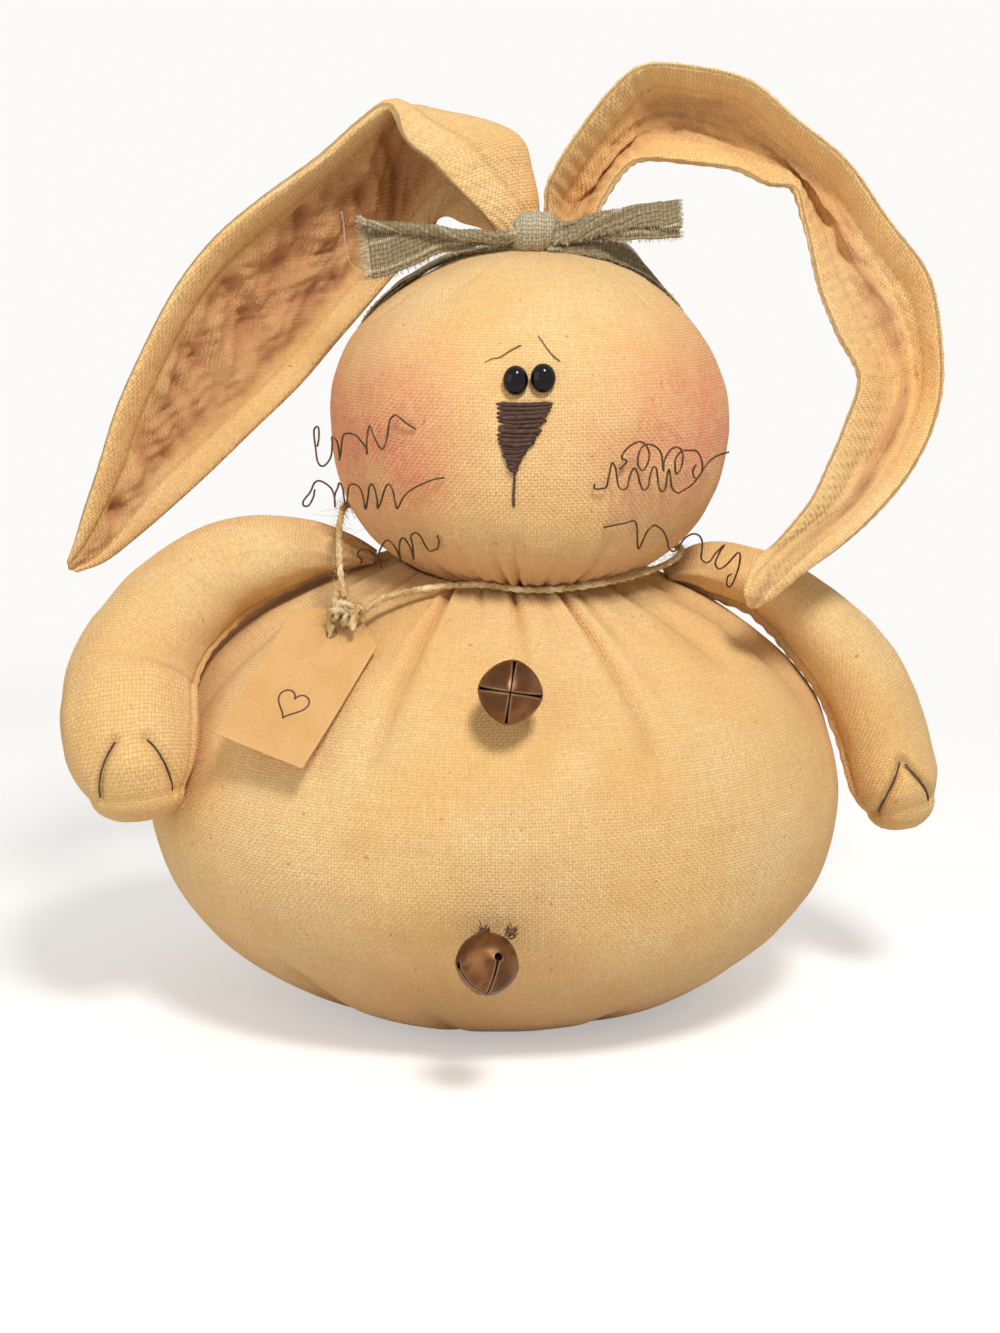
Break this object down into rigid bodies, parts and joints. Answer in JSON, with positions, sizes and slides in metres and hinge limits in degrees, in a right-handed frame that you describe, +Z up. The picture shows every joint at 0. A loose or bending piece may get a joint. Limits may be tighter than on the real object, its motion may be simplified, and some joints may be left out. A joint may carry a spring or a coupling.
{
  "type": "stuffed rabbit doll",
  "caption": "Primitive stuffed muslin rabbit doll with wired ears, bead eyes, wire whiskers, rusty bells, a homespun bow and a blank kraft tag on jute twine.",
  "frame": {"origin": "centre of the flat spot that the body sits on", "axes": "+Z up; the doll faces -Y; +X is the doll's own left side, the viewer's right"},
  "size_m": [0.2889, 0.2076, 0.3083],
  "materials": {
    "muslin": "tea-dyed cotton muslin, plain weave",
    "muslin_stained": "tea-dyed cotton muslin, darker and dirtier",
    "homespun_sage": "torn homespun cotton strip, frayed",
    "glass_bead": "polished black",
    "floss": "embroidery floss, satin stitch",
    "thread_dark": "cotton thread, dark brown",
    "thread_brown": "cotton thread, brown",
    "rusty_wire": "rusted craft wire",
    "rusty_bell": "rusted pressed steel, satin",
    "kraft": "kraft card, matte, unprinted",
    "jute": "jute twine, hairy"
  },
  "bodies": {
    "root": {"arm_left": "muslin", "arm_right": "muslin", "bell_lower_ball": "rusty_bell", "bell_lower_shank": "rusty_wire", "bell_lower_shell": "rusty_bell", "bell_lower_thread": "thread_brown", "bell_upper_ball": "rusty_bell", "bell_upper_shank": "rusty_wire", "bell_upper_shell": "rusty_bell", "bell_upper_thread": "thread_brown", "body": "muslin_stained", "brow_left": "thread_brown", "brow_right": "thread_brown", "ear_left": "muslin", "ear_right": "muslin", "eye_left": "glass_bead", "eye_right": "glass_bead", "hair_tie": "homespun_sage", "hang_tag": "kraft", "head": "muslin", "mouth_stitch": "thread_dark", "neck_twine": "jute", "nose_stitches": "floss", "tag_loop": "jute", "toe_stitch_left_inner": "thread_dark", "toe_stitch_left_outer": "thread_dark", "toe_stitch_right_inner": "thread_dark", "toe_stitch_right_outer": "thread_dark", "twine_knot": "jute", "whisker_left_lower": "rusty_wire", "whisker_left_middle": "rusty_wire", "whisker_left_upper": "rusty_wire", "whisker_right_lower": "rusty_wire", "whisker_right_middle": "rusty_wire", "whisker_right_upper": "rusty_wire"}
  },
  "joints": []
}
